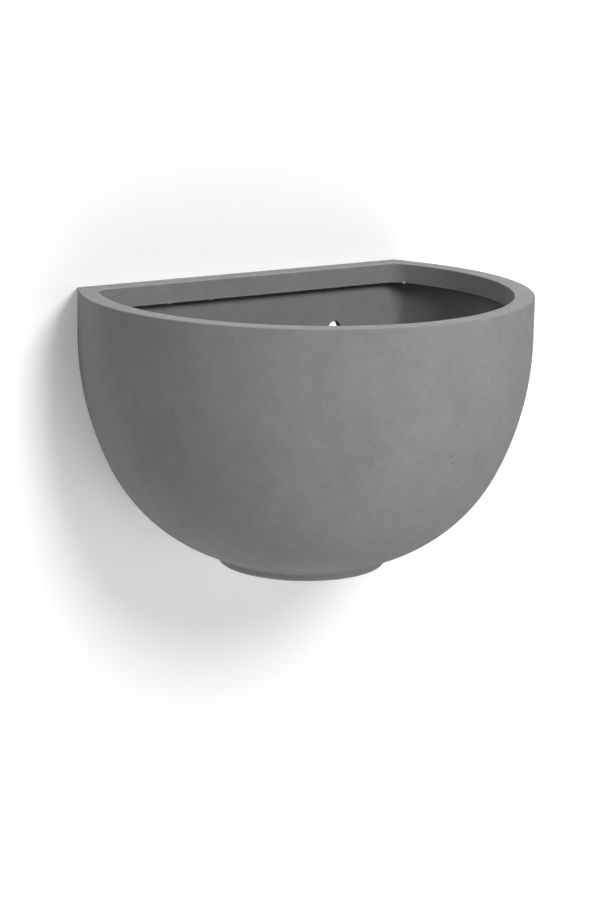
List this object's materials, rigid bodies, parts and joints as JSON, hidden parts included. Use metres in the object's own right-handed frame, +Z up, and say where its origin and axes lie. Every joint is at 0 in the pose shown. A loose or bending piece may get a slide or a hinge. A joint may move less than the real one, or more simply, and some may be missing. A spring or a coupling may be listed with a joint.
{
  "type": "wall planter",
  "caption": "Deep round concrete bowl cut flat at the back to hang on a wall, with a thick rim, a low round foot, mounting holes in its back and a rubber plug in its drain.",
  "frame": {"origin": "midway between the two mounting holes, on the back face that lies on the wall", "axes": "+Z up, +Y out of the back face into the wall, so that the bowl stands out towards -Y, X along the wall"},
  "size_m": [0.4598, 0.348, 0.2825],
  "materials": {
    "concrete": "matt grey lightweight concrete, smooth cast, with faint clouding and fine pinholes",
    "plug_rubber": "matt black moulded rubber"
  },
  "bodies": {
    "planter": {"planter_bowl": "concrete"},
    "plug": {"drain_plug": "plug_rubber"}
  },
  "joints": [
    {"name": "plug_pull", "type": "slide", "parent": "planter", "child": "plug", "axis": [0, 0, 1], "range_m": [0, 0.04]}
  ]
}
